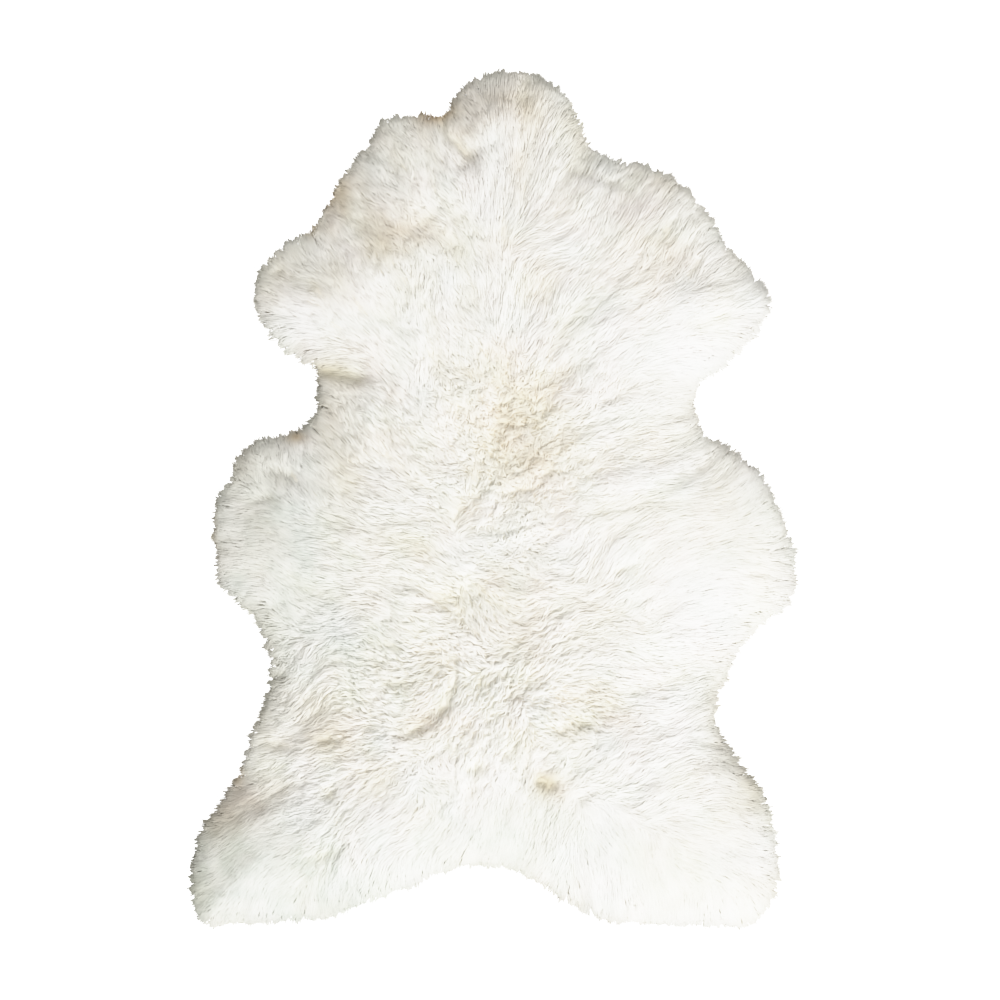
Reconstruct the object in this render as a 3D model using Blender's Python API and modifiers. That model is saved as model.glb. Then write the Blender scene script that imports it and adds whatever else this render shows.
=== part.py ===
"""A sheepskin rug: one pelt, the tanned hide with its wool on, laid flat.

Metres, +Z up.  The underside lies on Z = 0, the neck points to +Y, and the
origin is at the middle of the rug's outline.
"""

import math
from collections import namedtuple

import bmesh
import bpy
from mathutils import Vector

# Driving sizes, in metres.  They include the wool, as far out as its tips reach.
PILE_HEIGHT = 0.047  # floor to the top of the wool, away from the rim
RIM_HEIGHT = 0.016  # floor to the line where the rim stands out furthest
RIM_ROUND = 0.060  # how far in from the rim the pile reaches its full height
RIM_TUCK = 0.012  # how far the rim draws in again, below and above that line
CAGE_GROWTH = 0.0035  # the smoothing draws the cage's rim in by this much
CORNER_GROWTH = 0.4  # and its corners, by this share of how far they stand out
BOW_ROUND = 1.5  # how round a row's bow is: 1 is a plain arch
SMOOTHING_STEPS = 1  # each step splits every face of the cage in four
SAME_POINT = 0.00001  # points nearer than this are the same one

WOOL_WHITE = (0.87, 0.85, 0.80, 1.0)
WOOL_ROUGHNESS = 0.95

MM = 0.001

# The outline, as rows across the pelt from the neck to the hind edge, in millimetres:
# where the row starts on the left, where it ends on the right, how far its middle
# is bowed forward, and how deep the notch between the hind legs pushes it forward.
Row = namedtuple("Row", "left_x left_y right_x right_y bow notch")
ROWS = (
    # neck
    Row(-32, 486, 80, 479, 19, 0),
    Row(-50, 464, 99, 453, 17, 0),
    Row(-59, 450, 106, 429, 12, 0),
    Row(-95, 449, 114, 415, 5, 0),
    Row(-131, 444, 126, 404, 0, 0),
    # shoulders and fore legs
    Row(-143, 416, 159, 395, 0, 0),
    Row(-168, 392, 199, 381, 0, 0),
    Row(-189, 357, 228, 363, 0, 0),
    Row(-207, 323, 252, 334, 0, 0),
    Row(-235, 304, 269, 304, 0, 0),
    Row(-263, 284, 290, 280, 0, 0),
    Row(-280, 252, 311, 255, 0, 0),
    Row(-279, 223, 325, 230, 0, 0),
    Row(-266, 195, 317, 204, 0, 0),
    Row(-241, 168, 297, 176, 0, 0),
    # waist behind the fore legs
    Row(-210, 149, 265, 149, 0, 0),
    Row(-208, 112, 238, 125, 0, 0),
    Row(-225, 78, 242, 87, 0, 0),
    # flanks
    Row(-271, 71, 271, 60, 0, 0),
    Row(-297, 50, 299, 45, 0, 0),
    Row(-314, 17, 322, 13, 0, 0),
    Row(-330, -17, 340, -24, 0, 0),
    Row(-325, -57, 351, -62, 0, 0),
    Row(-324, -89, 354, -94, 0, 0),
    Row(-308, -116, 343, -128, 0, 0),
    Row(-277, -143, 307, -154, 0, 0),
    Row(-266, -182, 284, -188, 0, 0),
    # waist before the hind legs
    Row(-264, -223, 267, -225, 0, 2),
    Row(-279, -255, 262, -260, 0, 6),
    Row(-290, -287, 273, -287, 0, 10),
    # hind legs and the notch between them
    Row(-297, -317, 298, -315, 0, 16),
    Row(-318, -350, 317, -346, 0, 25),
    Row(-340, -381, 328, -380, 0, 35),
    Row(-352, -416, 333, -418, 0, 45),
    Row(-353, -451, 331, -451, 0, 54),
    Row(-349, -480, 320, -480, 0, 62),
    Row(-335, -500, 297, -500, 0, 68),
)

# Where the rows are crossed, from -1 at the left rim to 1 at the right rim, and the
# share of a row's notch there: a slow rise from the left leg, a steep fall to the right.
Column = namedtuple("Column", "across notch")
COLUMNS = (
    Column(-1.00, 0.00),
    Column(-0.93, 0.02),
    Column(-0.78, 0.10),
    Column(-0.56, 0.15),
    Column(-0.34, 0.49),
    Column(-0.11, 0.96),
    Column(0.11, 1.00),
    Column(0.34, 0.36),
    Column(0.56, 0.02),
    Column(0.78, 0.02),
    Column(0.93, 0.00),
    Column(1.00, 0.00),
)

# Swells and hollows of the wool's top, in millimetres: the middle, how far it
# spreads across and along the pelt, and how much it rises (or sinks, if negative).
Swell = namedtuple("Swell", "x y across along rise")
SWELLS = (
    Swell(10, 455, 50, 30, 4),  # crown of the neck
    Swell(-35, 400, 60, 25, -6),  # crease below the neck
    Swell(-110, 305, 70, 35, -6),  # left shoulder
    Swell(190, 300, 60, 45, -5),  # right shoulder
    Swell(-180, 235, 70, 45, 4),  # left fore leg
    Swell(240, 215, 60, 50, 5),  # right fore leg
    Swell(-155, 140, 60, 24, -9),  # crease at the left waist
    Swell(15, 75, 70, 60, -6),  # short curls along the back
    Swell(-240, 35, 36, 26, -6),  # hollow in the left flank
    Swell(-150, -40, 120, 60, 4),  # left flank
    Swell(210, -55, 120, 70, 4),  # right flank
    Swell(-130, -250, 90, 26, -7),  # crease before the left hind leg
    Swell(60, -338, 40, 26, -9),  # gap between locks over the rump
    Swell(170, -250, 60, 30, -5),  # hollow before the right hind leg
    Swell(-230, -420, 90, 60, 5),  # left hind leg
    Swell(220, -420, 90, 60, 5),  # right hind leg
)


def clear_scene():
    for old in list(bpy.data.objects):
        bpy.data.objects.remove(old, do_unlink=True)


def wool_material():
    material = bpy.data.materials.new("wool")
    material.use_nodes = True
    shader = material.node_tree.nodes["Principled BSDF"]
    shader.inputs["Base Color"].default_value = WOOL_WHITE
    shader.inputs["Roughness"].default_value = WOOL_ROUGHNESS
    shader.inputs["Metallic"].default_value = 0.0
    return material


def row_points(row):
    """The points where one row crosses the columns."""
    points = []
    for column in COLUMNS:
        share = (column.across + 1) / 2
        x = row.left_x + share * (row.right_x - row.left_x)
        y = row.left_y + share * (row.right_y - row.left_y)
        y += row.bow * (1 - column.across**2) ** BOW_ROUND + row.notch * column.notch
        points.append(Vector((x * MM, y * MM, 0)))
    return points


def pelt_grid():
    """A flat sheet of quads with the pelt's outline, and its rim's points in order."""
    bpy.ops.mesh.primitive_grid_add(x_subdivisions=len(COLUMNS) - 1, y_subdivisions=len(ROWS) - 1)
    grid = bpy.context.object
    # The primitive numbers its points row by row from -Y, and ROWS starts at +Y.
    spots = [point for row in reversed(ROWS) for point in row_points(row)]
    for vertex, spot in zip(grid.data.vertices, spots):
        vertex.co = spot
    wide = len(COLUMNS)
    last = len(spots) - 1
    hind_edge = list(range(wide))
    right_edge = [wide * (r + 1) - 1 for r in range(1, len(ROWS))]
    neck_edge = [last - c for c in range(1, wide)]
    left_edge = [wide * r for r in range(len(ROWS) - 2, 0, -1)]
    return grid, [spots[i] for i in hind_edge + right_edge + neck_edge + left_edge]


def rim_growth(rim_points, index, reach):
    """How far one point of the rim moves out, so that it ends up `reach` outside."""
    spot = rim_points[index]
    before = rim_points[index - 1]
    after = rim_points[(index + 1) % len(rim_points)]
    along = (after - before).normalized()
    outward = Vector((along.y, -along.x, 0))
    corner = spot - (before + after) / 2
    return outward * reach + corner * CORNER_GROWTH


def distance_to_rim(point, rim_points):
    """How far a point lies from the nearest stretch of the rim."""
    nearest = math.inf
    for start, end in zip(rim_points, rim_points[1:] + rim_points[:1]):
        side = end - start
        share = max(0.0, min(1.0, (point - start).dot(side) / side.length_squared))
        nearest = min(nearest, (point - start - share * side).length)
    return nearest


def swell_height(point):
    """How much the swells and hollows raise the wool at one place."""
    height = 0.0
    for swell in SWELLS:
        across = (point.x / MM - swell.x) / swell.across
        along = (point.y / MM - swell.y) / swell.along
        height += swell.rise * MM * math.exp(-(across**2) - along**2)
    return height


def pile_top(point, rim_points):
    """The height of the wool over one place: a rounded rim, then swells and hollows."""
    inward = min(1.0, distance_to_rim(point, rim_points) / RIM_ROUND)
    shoulder = math.sqrt(1 - (1 - inward) ** 2)
    return RIM_HEIGHT + shoulder * (PILE_HEIGHT - RIM_HEIGHT + swell_height(point))


def nearest_rim_index(vertex, rim_points):
    flat = Vector((vertex.co.x, vertex.co.y, 0))
    return min(range(len(rim_points)), key=lambda i: (rim_points[i] - flat).length_squared)


def raise_layer(mesh, faces):
    """Extrude a layer of faces upwards by the rim's height and return the new faces."""
    made = bmesh.ops.extrude_face_region(mesh, geom=faces)["geom"]
    raised = [item for item in made if isinstance(item, bmesh.types.BMVert)]
    bmesh.ops.translate(mesh, verts=raised, vec=(0, 0, RIM_HEIGHT))
    return [item for item in made if isinstance(item, bmesh.types.BMFace)]


def round_rim(mesh, rim_points):
    """Let the middle of the three layers stand out along the rim, and draw the others in."""
    reach_at_height = {0: -RIM_TUCK, 1: CAGE_GROWTH, 2: -RIM_TUCK}
    for vertex in mesh.verts:
        index = nearest_rim_index(vertex, rim_points)
        spot = rim_points[index]
        if math.hypot(vertex.co.x - spot.x, vertex.co.y - spot.y) < SAME_POINT:
            layer = round(vertex.co.z / RIM_HEIGHT)
            vertex.co += rim_growth(rim_points, index, reach_at_height[layer])


def build_pelt(collection):
    """The whole rug as one closed body: flat underside, rounded rim, uneven top."""
    pelt, rim_points = pelt_grid()
    pelt.name = "pelt"
    mesh = bmesh.new()
    mesh.from_mesh(pelt.data)

    inner_faces = raise_layer(mesh, list(mesh.faces))
    top_faces = raise_layer(mesh, inner_faces)
    bmesh.ops.delete(mesh, geom=inner_faces, context="FACES")
    round_rim(mesh, rim_points)
    for vertex in {vertex for face in top_faces for vertex in face.verts}:
        vertex.co.z = pile_top(Vector((vertex.co.x, vertex.co.y, 0)), rim_points)

    bmesh.ops.recalc_face_normals(mesh, faces=mesh.faces)
    mesh.to_mesh(pelt.data)
    mesh.free()
    pelt.data.shade_smooth()
    pelt.data.materials.append(wool_material())

    smooth = pelt.modifiers.new("smooth", "SUBSURF")
    smooth.levels = SMOOTHING_STEPS
    smooth.render_levels = SMOOTHING_STEPS

    for holder in list(pelt.users_collection):
        holder.objects.unlink(pelt)
    collection.objects.link(pelt)


def main():
    clear_scene()
    collection = bpy.data.collections.new("sheepskin_rug")
    bpy.context.scene.collection.children.link(collection)
    build_pelt(collection)


main()
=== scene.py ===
import math

import bmesh
import bpy
import numpy as np
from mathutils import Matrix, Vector
from mathutils.bvhtree import BVHTree
from mathutils.kdtree import KDTree


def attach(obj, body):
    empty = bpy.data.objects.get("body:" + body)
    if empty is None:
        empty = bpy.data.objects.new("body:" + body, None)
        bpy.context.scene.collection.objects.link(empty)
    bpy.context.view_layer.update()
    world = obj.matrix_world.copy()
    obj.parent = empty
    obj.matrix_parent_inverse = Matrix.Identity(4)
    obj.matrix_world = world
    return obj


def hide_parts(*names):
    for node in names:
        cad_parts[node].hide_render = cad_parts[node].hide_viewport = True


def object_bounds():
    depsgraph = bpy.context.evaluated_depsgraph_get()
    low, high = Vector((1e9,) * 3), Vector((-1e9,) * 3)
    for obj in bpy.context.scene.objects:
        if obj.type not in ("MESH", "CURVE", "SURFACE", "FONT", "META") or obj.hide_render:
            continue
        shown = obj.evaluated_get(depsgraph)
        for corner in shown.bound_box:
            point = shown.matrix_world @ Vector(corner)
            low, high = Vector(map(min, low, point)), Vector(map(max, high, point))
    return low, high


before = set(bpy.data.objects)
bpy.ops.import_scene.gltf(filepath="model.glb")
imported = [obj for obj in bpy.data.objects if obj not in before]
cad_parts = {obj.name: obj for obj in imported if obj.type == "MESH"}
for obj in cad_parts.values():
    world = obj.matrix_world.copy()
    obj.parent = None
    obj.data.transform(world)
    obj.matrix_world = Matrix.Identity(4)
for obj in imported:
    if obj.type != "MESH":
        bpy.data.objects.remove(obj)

cadLow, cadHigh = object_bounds()
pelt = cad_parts["pelt"]
scene = bpy.context.scene
mm = 0.001
mixFirst, mixSecond, mixResult = 6, 7, 2  # the colour sockets of a mix node

cameraSettings = {
    "lens": 85.0,            # mm, long, so that the pile's height hardly spreads the outline
    "sensor": 36.0,          # mm
    "pictureWidth": 1.1655,  # m across the picture, at the height of the rim
    "rimHeight": 16 * mm,
    "centre": (0.0076, -0.0012),
    "nearest": 0.05,         # m from the camera to what it sees nearest,
    "furthest": 200.0,       # and furthest
}

# Lamps: where each stands, how wide it is, and its watts.
lamps = {
    "windowLight": ((1.3, -3.5, 2.8), 2.2, 174.0),  # beyond the hind legs and to the right
    "skyPanel": ((0.8, -0.1, 2.6), 2.2, 34.0),      # above, and off to the right
}

roomSettings = {
    "ambient": 0.4,
    "ambientColour": (1.0, 0.96, 0.88, 1),  # warm, because deep wool sends on its own cream
    "floorAcross": 60.0,
    "floorDrop": 0.6 * mm,
    "floorWhite": 0.93,
    "floorBounce": 0.45,  # what the floor sends back to the wool, so that the rim has a shaded side
    "floorGlow": 1.6,
    "floorRoughness": 0.9,
    "floorShine": 0.1,
    "bounces": 10,        # how often light may pass between strands
}

# How bright the light is and how bright the picture shows it, up to white.
pictureSteps = [
    (0.3, 0.29), (0.5, 0.485), (0.75, 0.72), (0.9, 0.835), (1.05, 0.91), (1.3, 0.97), (1.8, 1.0),
]


def makeCamera(settings):
    data = bpy.data.cameras.new("camera")
    data.lens = settings["lens"]
    data.sensor_width = settings["sensor"]
    data.clip_start = settings["nearest"]
    data.clip_end = settings["furthest"]
    camera = bpy.data.objects.new("camera", data)
    scene.collection.objects.link(camera)
    distance = settings["pictureWidth"] * settings["lens"] / settings["sensor"]
    camera.location = (*settings["centre"], settings["rimHeight"] + distance)
    scene.camera = camera


def makeLamp(name, place, size, power):
    data = bpy.data.lights.new(name, "AREA")
    data.shape = "DISK"
    data.size = size
    data.energy = power
    lamp = bpy.data.objects.new(name, data)
    scene.collection.objects.link(lamp)
    lamp.location = place
    lamp.rotation_mode = "QUATERNION"
    lamp.rotation_quaternion = (-Vector(place)).to_track_quat("-Z", "Y")


def addNode(tree, kind, values=None, **traits):
    # A shader node, with its own settings and what its inputs stand at.
    node = tree.nodes.new("ShaderNode" + kind)
    for name, value in traits.items():
        setattr(node, name, value)
    for name, value in (values or {}).items():
        node.inputs[name].default_value = value
    return node


def newMaterial(name, roughness, specular):
    material = bpy.data.materials.new(name)
    material.use_nodes = True
    shader = material.node_tree.nodes["Principled BSDF"]
    shader.inputs["Roughness"].default_value = roughness
    shader.inputs["Specular IOR Level"].default_value = specular
    return material, material.node_tree, shader


def paperMaterial(settings):
    # White to the eye, and greyer to the wool that it lights from below.
    paper, tree, shader = newMaterial("whitePaper", settings["floorRoughness"], settings["floorShine"])
    shader.inputs["Emission Color"].default_value = (1, 1, 1, 1)
    bounce, white = settings["floorBounce"], settings["floorWhite"]
    path = addNode(tree, "LightPath")
    shade = addNode(
        tree, "Mix", {mixFirst: (bounce, bounce, bounce, 1), mixSecond: (white, white, white, 1)},
        data_type="RGBA",
    )
    glow = addNode(tree, "Math", {1: settings["floorGlow"]}, operation="MULTIPLY")
    tree.links.new(path.outputs["Is Camera Ray"], shade.inputs["Factor"])
    tree.links.new(path.outputs["Is Camera Ray"], glow.inputs[0])
    tree.links.new(shade.outputs[mixResult], shader.inputs["Base Color"])
    tree.links.new(glow.outputs["Value"], shader.inputs["Emission Strength"])
    return paper


def makeFloor(settings):
    half = settings["floorAcross"] / 2
    height = -settings["floorDrop"]
    corners = [(x * half, y * half, height) for x, y in ((-1, -1), (1, -1), (1, 1), (-1, 1))]
    mesh = bpy.data.meshes.new("floor")
    mesh.from_pydata(corners, [], [(0, 1, 2, 3)])
    mesh.materials.append(paperMaterial(settings))
    floor = bpy.data.objects.new("floor", mesh)
    scene.collection.objects.link(floor)


def lightRoom(settings):
    for name, (place, size, power) in lamps.items():
        makeLamp(name, place, size, power)
    world = bpy.data.worlds.new("room")
    scene.world = world
    world.use_nodes = True
    world.node_tree.nodes["Background"].inputs["Color"].default_value = settings["ambientColour"]
    world.node_tree.nodes["Background"].inputs["Strength"].default_value = settings["ambient"]
    scene.cycles.diffuse_bounces = settings["bounces"]


def developPicture(steps):
    # As film does, the picture holds back what is brighter than about two thirds of white.
    view = scene.view_settings
    view.view_transform = "Standard"
    view.use_curve_mapping = True
    whitest = steps[-1][0]
    view.curve_mapping.white_level = (whitest, whitest, whitest)
    curve = view.curve_mapping.curves[3]
    for light, shown in steps[:-1]:
        curve.points.new(light / whitest, shown)
    view.curve_mapping.update()


makeCamera(cameraSettings)
lightRoom(roomSettings)
developPicture(pictureSteps)
makeFloor(roomSettings)
print("camera, lights and floor are up")

lieSettings = {
    "step": 2.5 * mm,       # from one grid point to the next
    "border": 32 * mm,      # grid outside the outline
    "rimHeight": 16 * mm,   # where the pelt's solid stands out furthest
    "overhang": 1.1,        # how fast the wool falls outside the rim, metres a metre
    "lowest": 2.0 * mm,
    "combReach": 24 * mm,   # how near the rim strands begin to turn straight out
    "combShare": 0.45,
    "markSoftness": 16 * mm,
    "markPower": 2.2,       # how fast a comb mark loses its say with the distance
    "curlOverWave": 0.7,    # how far curls take the place of waves where both are marked
    "sleekFlat": 0.6,       # how far sleek wool lies flatter than the tufts around it
    "brow": 20 * mm,        # how high the wool stands at the rim itself, where it hangs over the floor
    "crest": 49 * mm,       # how high it would stand there if it didn't fall towards the rim
    "crestReach": 60 * mm,  # how far in the pelt's own height takes over
    "fallReach": 33 * mm,   # over which most of the fall comes
    "gentlest": 0.62,       # the rim's own slope is shaded no steeper than this
    "evenEdge": 7 * mm,     # tufts and creases fade out over this much of the rim
    "hollowDepth": 7 * mm,  # at which a hollow's wool has all of the painted hollow shade
    "reliefShade": 0.8,     # how strongly tufts and creases show in the shading
    # partings between bundles of locks, where the wool is wavy or curly
    "partingNoise": (20 * mm, 9 * mm, 54),  # they run at its zero: how wide, how long, a seed
    "partingWidth": 0.3,    # of that noise
    "partingDepth": 2.4 * mm,
    # tufts that rise and fall with the combing: how wide, how long, how high, and a seed
    "ripples": [
        (26 * mm, 30 * mm, 1.3 * mm, 53),
        (13 * mm, 18 * mm, 0.7 * mm, 51),
        (7 * mm, 14 * mm, 0.3 * mm, 52),
    ],
}

# How the wool is combed. Each row is a place in mm and the way that the tips point there, in
# degrees: 0 to the right, 90 to the neck, 270 to the hind legs.
combMarks = {
    "neck": [
        (-40, 465, 125), (8, 486, 96), (43, 483, 88), (78, 465, 68), (98, 430, 58),
        (8, 430, 95), (54, 418, 80), (-33, 418, 118), (8, 360, 95), (107, 395, 57),
    ],
    "left shoulder": [
        (-135, 436, 148), (-109, 442, 130), (-74, 440, 102), (-109, 407, 135), (-62, 395, 112),
        (-165, 389, 142), (-138, 340, 130), (-179, 354, 128), (-196, 319, 116), (-225, 300, 118),
        (-255, 276, 132), (-275, 244, 150), (-225, 244, 158), (-167, 250, 120), (-109, 325, 122),
        (-109, 267, 118), (-74, 232, 97), (-51, 325, 125), (-270, 203, 170), (-243, 174, 188),
        (-202, 197, 150), (-190, 162, 182), (-186, 216, 130), (-32, 267, 118), (-32, 190, 125),
    ],
    "left waist": [
        (-205, 127, 145), (-156, 133, 152), (-121, 162, 140), (-167, 104, 125), (-144, 69, 113),
        (-211, 80, 122), (-74, 150, 97), (-51, 115, 130), (-237, 63, 103), (-278, 55, 118),
        (-307, 22, 150), (-266, 28, 115), (-202, 34, 125), (-313, -7, 172), (-140, 20, 148),
    ],
    "left flank": [
        (-325, -48, 180), (-328, -89, 184), (-284, -36, 176), (-295, -106, 166), (-226, -48, 160),
        (-237, -89, 150), (-167, -48, 158), (-109, -42, 172), (-51, -71, 155), (-109, -106, 165),
        (-167, -112, 172), (-272, -147, 165), (-226, -135, 140), (-179, -147, 185),
        (-214, -188, 235), (-266, -193, 185), (-121, -164, 152), (-165, -203, 155),
        (-202, -234, 228), (-132, -222, 160), (-278, -258, 181), (-225, -287, 190),
        (-167, -287, 192), (-172, -260, 172), (-109, -286, 178), (-160, -234, 146),
    ],
    "left hind leg": [
        (-290, -316, 200), (-336, -386, 198), (-284, -386, 205), (-226, -351, 200),
        (-167, -351, 225), (-109, -322, 222), (-68, -330, 338), (-348, -444, 210),
        (-301, -450, 230), (-342, -485, 225), (-237, -427, 215), (-272, -479, 250),
        (-202, -473, 252), (-167, -432, 245), (-109, -444, 255), (-109, -386, 215),
        (-51, -362, 235), (-51, -421, 240),
    ],
    "hind edge": [
        (-4, -421, 248), (8, -374, 262), (54, -421, 245), (31, -374, 238), (78, -386, 245),
        (124, -386, 300), (101, -462, 278), (147, -479, 272), (194, -473, 275), (241, -473, 282),
    ],
    "right hind leg": [
        (287, -479, 305), (322, -462, 325), (182, -421, 290), (252, -427, 325), (334, -427, 350),
        (241, -386, 355), (316, -386, 350), (299, -351, 340), (281, -322, 335), (241, -339, 18),
        (194, -339, 30), (258, -287, 350), (194, -281, 25), (147, -304, 35),
    ],
    "right flank": [
        (258, -252, 18), (229, -234, 28), (182, -234, 12), (124, -234, 340), (270, -211, 15),
        (171, -188, 345), (124, -164, 12), (241, -176, 3), (299, -158, 5), (340, -118, 0),
        (328, -24, 15), (299, 10, 32), (270, 45, 52), (241, 69, 30), (299, -83, 343),
        (241, -71, 8), (241, -13, 5), (182, -94, 35), (147, -83, 50), (171, -36, 33),
        (182, 10, 12), (124, -71, 65), (124, -1, 8), (78, -94, 355), (19, -83, 345),
    ],
    "right shoulder": [
        (229, 115, 0), (182, 115, 12), (124, 80, 17), (112, 127, 38), (171, 69, 15),
        (281, 168, 350), (241, 179, 5), (316, 209, 352), (316, 234, 15), (293, 267, 35),
        (258, 308, 40), (229, 354, 48), (194, 362, 58), (136, 354, 58), (182, 302, 52),
        (229, 279, 52), (182, 244, 38), (264, 226, 20), (124, 279, 52), (124, 220, 38),
        (66, 290, 30), (66, 360, 72), (66, 232, 60), (19, 232, 88), (182, 197, 25),
    ],
    "back": [
        (8, 115, 80), (-32, 139, 140), (-6, -60, 345), (54, 57, 30), (-51, 45, 150),
        (8, -24, 40), (-10, -141, 300), (25, -170, 5), (66, -141, 37), (43, -199, 37),
        (-4, -234, 225), (-51, -234, 232), (-51, -281, 240), (8, -281, 245), (78, -258, 340),
        (78, -304, 50), (124, -327, 30), (8, -339, 250), (54, -339, 230), (-86, -199, 200),
        (-39, -176, 140),
    ],
}

# Where the wool is curly, in short locks that turn every way: a place in mm, how far it spreads, and
# how curly it is there, to 1.
curlMarks = [
    (5, 90, 75, 1.0), (30, 20, 85, 1.0), (20, -40, 60, 0.85), (120, 120, 45, 0.55),
    (-40, 130, 45, 0.5), (25, -310, 45, 0.5), (95, -330, 30, 0.6), (-90, 290, 60, 0.35),
    (170, 230, 70, 0.3), (-290, 40, 50, 0.4), (-235, -175, 40, 0.5), (160, -130, 50, 0.35),
    (-75, -300, 40, 0.5),
]

# Where it hangs in wavy locks side by side, with hollows between them: place, spread and amount.
wavyMarks = [
    (-40, -190, 85, 0.9), (20, -250, 105, 1.0), (-60, -290, 80, 1.0), (90, -260, 80, 0.7),
    (140, -290, 60, 0.55), (-190, -360, 70, 0.8), (-130, -220, 85, 0.8), (-130, 90, 50, 0.35),
    (60, -170, 70, 0.7), (-150, -300, 75, 0.7), (-20, -120, 60, 0.6), (-230, -200, 50, 0.5),
    (-10, -20, 90, 0.35),
]

# Where the wool lies sleek, with hardly a lock apart from the next: place, spread and amount.
sleekMarks = [
    (220, 140, 90, 0.8), (240, -70, 110, 0.95), (290, -20, 70, 1.0), (230, -420, 120, 1.0),
    (0, -395, 120, 1.0), (-255, -430, 120, 1.0), (-260, -60, 85, 0.85), (-200, 220, 70, 0.6),
    (180, 260, 80, 0.3), (100, -190, 70, 0.35), (150, -20, 60, 0.5), (-130, -420, 80, 0.7),
    (60, 330, 60, 0.3),
]

# Where the strands are longer or shorter: a place in mm, how far that spreads, and its share.
lengthMarks = [
    (10, 60, 110, -0.42), (20, -250, 120, -0.33), (-260, -430, 90, 0.30), (20, -400, 110, 0.30),
    (230, -420, 100, 0.30), (290, -60, 80, 0.22), (250, 200, 80, 0.20), (-250, 220, 60, 0.10),
]

# Creases and hollows between locks: the middle in mm, the way that they run in degrees, half their
# length and half their width, and how deep the wool parts there.
creases = {
    "neck": [
        (-58, 437, 96, 12, 5, 5), (-42, 411, 138, 22, 6, 4.5), (-28, 395, 40, 26, 7, 3.1),
        (36, 476, 80, 20, 5, 2.5), (124, 372, 160, 34, 5, 2.5),
    ],
    "left shoulder": [
        (-85, 318, 35, 24, 8, 3.1), (-205, 243, 120, 15, 5, 2.2), (-249, 265, 60, 8, 5, 2.5),
    ],
    "right shoulder": [
        (202, 308, 100, 16, 6, 2.5), (234, 270, 60, 14, 5, 2.5),
    ],
    "left waist and flank": [
        (-184, 146, 168, 36, 8, 7), (-242, 30, 160, 18, 6, 3.7), (-262, 2, 12, 30, 5, 1.6),
    ],
    "back": [
        (-80, -104, 150, 28, 6, 2.5),
    ],
    "right flank": [
        (150, -80, 20, 14, 5, 3.1), (302, -87, 0, 16, 4, 2),
    ],
    "rump": [
        (-117, -170, 335, 12, 5, 4.3), (-115, -214, 5, 15, 5, 3.7), (-252, -206, 20, 16, 7, 3.7),
        (-144, -263, 0, 14, 5, 3.1), (-91, -267, 200, 11, 4, 3.4), (-194, -279, 10, 11, 5, 3.7),
        (-250, -286, 350, 26, 6, 3.7), (-47, -209, 262, 10, 5, 4.3), (-59, -243, 230, 12, 5, 4),
        (-45, -186, 285, 8, 5, 4.3), (36, -216, 30, 24, 8, 3.7), (162, -221, 340, 12, 6, 3.1),
        (95, -261, 10, 28, 6, 3.1), (252, -285, 350, 14, 5, 2.5), (20, -290, 60, 12, 6, 3.1),
    ],
    "left hind leg": [
        (-191, -339, 10, 8, 7, 3.1), (-198, -412, 200, 24, 6, 2.5),
    ],
    "hind edge": [
        (60, -328, 340, 13, 7, 7), (101, -345, 20, 10, 7, 3.1), (-20, -310, 10, 14, 6, 3.1),
    ],
}

# Tints that the wool takes on, as shares of red, green and blue; several are painted shade, and white is
# painted light.
tints = {
    "cream": (1.0, 0.98, 0.935),
    "blush": (0.945, 0.90, 0.865),
    "tan": (0.78, 0.60, 0.37),
    # a cool tone, and painted shade on the left flank and hind legs
    "coolAndShade": (0.85, 0.88, 0.868),
    # painted shade, a little warm, on the right flank and right hind leg
    "ivoryShade": (0.90, 0.90, 0.875),
    # a dusty tone, and painted shade along rims that face away from the light
    "dustAndShade": (0.90, 0.885, 0.845),
    "bran": (0.89, 0.85, 0.785),
    # painted shade in the hollows, a yellow-green grey
    "hollowShade": (0.90, 0.885, 0.81),
    # a fawn tone, and painted shade in creases and hollows
    "fawnAndShade": (0.83, 0.785, 0.70),
    # painted light, on places that are to show brighter
    "white": (1.03, 1.03, 1.04),
    # a mauve tone, and painted shade in the left waist's crease
    "mauveAndShade": (0.82, 0.775, 0.745),
    # painted shade, grey, on rims and sides that face away from the light
    "greyShade": (0.89, 0.885, 0.865),
    # in no mark: painted shade at the very rim, and on the wool low down its side
    "rim": (0.775, 0.775, 0.755),
    "shade": (0.66, 0.64, 0.60),
}
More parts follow.
